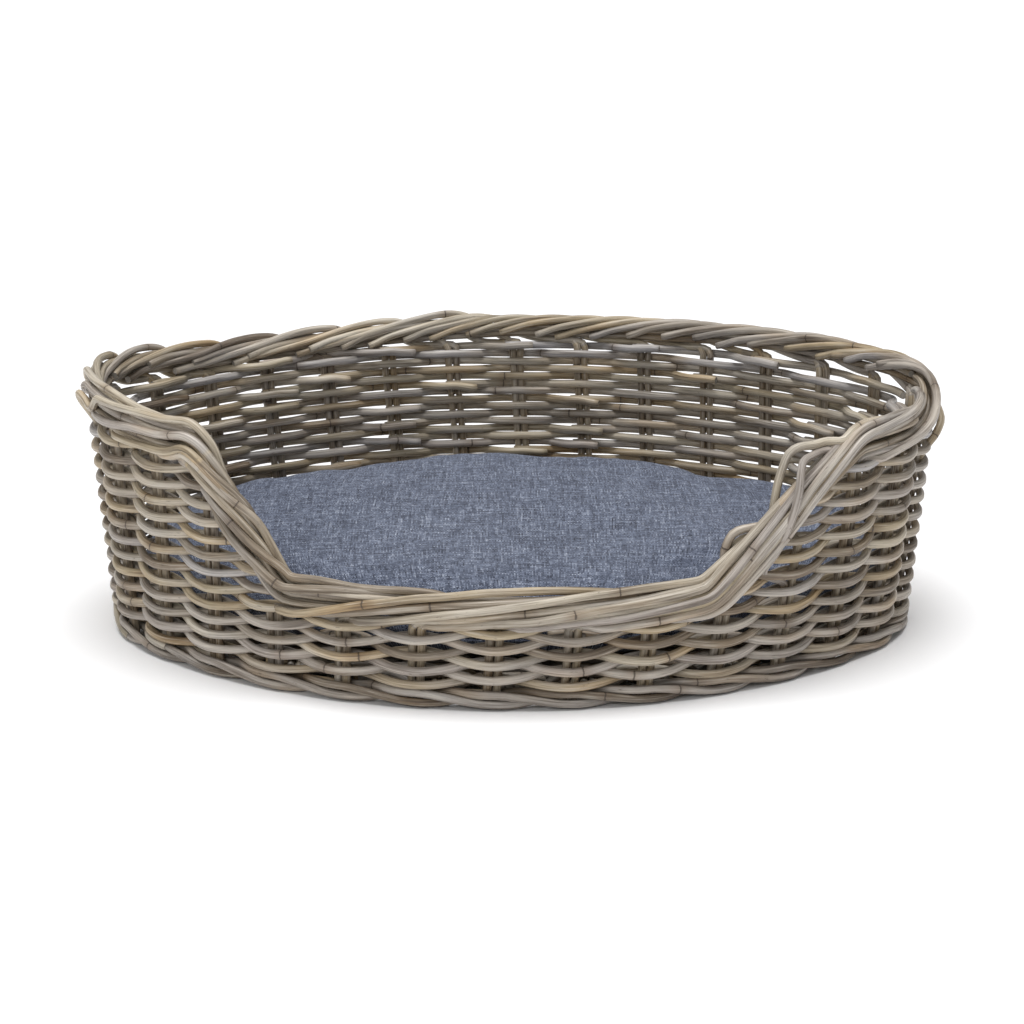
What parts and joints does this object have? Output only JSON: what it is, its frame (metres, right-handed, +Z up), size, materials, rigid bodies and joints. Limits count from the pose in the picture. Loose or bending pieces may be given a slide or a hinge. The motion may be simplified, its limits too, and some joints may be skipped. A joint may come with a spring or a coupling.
{
  "type": "wicker pet bed basket",
  "caption": "Oval basket bed of woven round cane with a lowered front entrance, twisted border, woven base and a loose padded cushion with a zipped cover.",
  "frame": {"origin": "on the ground, at the middle of the basket's outline", "axes": "+X along the length, the lowered front faces -Y, +Z up"},
  "size_m": [0.6994, 0.5097, 0.2035],
  "materials": {
    "cane_weave": "round cane, weathered grey-brown, matt with a faint sheen on the outside",
    "cane_border": "round cane, weathered grey-brown, slightly lighter where it is handled",
    "cane_foot": "round cane, weathered grey-brown, darker near the ground",
    "cane_stake": "round cane, weathered grey-brown, mostly hidden by the weave",
    "cane_base": "round cane, weathered grey-brown, matt",
    "cover_fabric": "coarse plain weave in mixed blue-grey and pale grey yarns, matt",
    "filling": "off-white polyester wadding in a thin inner bag",
    "zip_tape": "dark blue-grey woven tape",
    "zip_coil": "dark nylon coil",
    "zip_metal": "dull nickel-plated zinc"
  },
  "bodies": {
    "basket": {"base_hoop": "cane_base", "base_sticks": "cane_base", "base_canes_upper": "cane_base", "base_canes_lower": "cane_base", "foot_wale_1": "cane_foot", "foot_wale_2": "cane_foot", "foot_wale_3": "cane_foot", "stakes_tall": "cane_stake", "stakes_ramp": "cane_stake", "stakes_front": "cane_stake", "weave_row_01": "cane_weave", "weave_row_02": "cane_weave", "weave_row_03": "cane_weave", "weave_row_04": "cane_weave", "weave_row_05": "cane_weave", "weave_row_06": "cane_weave", "weave_row_07": "cane_weave", "weave_row_08": "cane_weave", "weave_row_09": "cane_weave", "weave_row_10": "cane_weave", "weave_row_11": "cane_weave", "weave_row_12": "cane_weave", "weave_row_13": "cane_weave", "weave_row_14": "cane_weave", "weave_row_15": "cane_weave", "weave_row_16": "cane_weave", "weave_row_17": "cane_weave", "weave_row_18": "cane_weave", "weave_row_19": "cane_weave", "weave_row_20": "cane_weave", "weave_row_21": "cane_weave", "weave_row_22": "cane_weave", "weave_row_23": "cane_weave", "border_strand_1": "cane_border", "border_strand_2": "cane_border", "border_strand_3": "cane_border", "border_strand_4": "cane_border", "border_strand_5": "cane_border", "border_strand_6": "cane_border"},
    "cushion": {"cushion_cover_top": "cover_fabric", "cushion_cover_bottom": "cover_fabric", "cushion_filling": "filling", "zip_tape": "zip_tape", "zip_coil": "zip_coil"},
    "zip_slider_body": {"zip_slider": "zip_metal"},
    "zip_pull_body": {"zip_pull": "zip_metal"}
  },
  "joints": [
    {"name": "cushion_lift", "type": "slide", "parent": "basket", "child": "cushion", "axis": [0, 0, 1], "range_m": [0, 0.22]},
    {"name": "zip_slide", "type": "hinge", "parent": "cushion", "child": "zip_slider_body", "pos_m": [0, -0.14882, 0.046], "axis": [0, 0, 1], "range_deg": [-30, 0]},
    {"name": "zip_pull_swing", "type": "hinge", "parent": "zip_slider_body", "child": "zip_pull_body", "pos_m": [-0.09446, 0.20372, 0.0477], "axis": [0.9659, 0.2588, 0], "range_deg": [0, 6]}
  ]
}
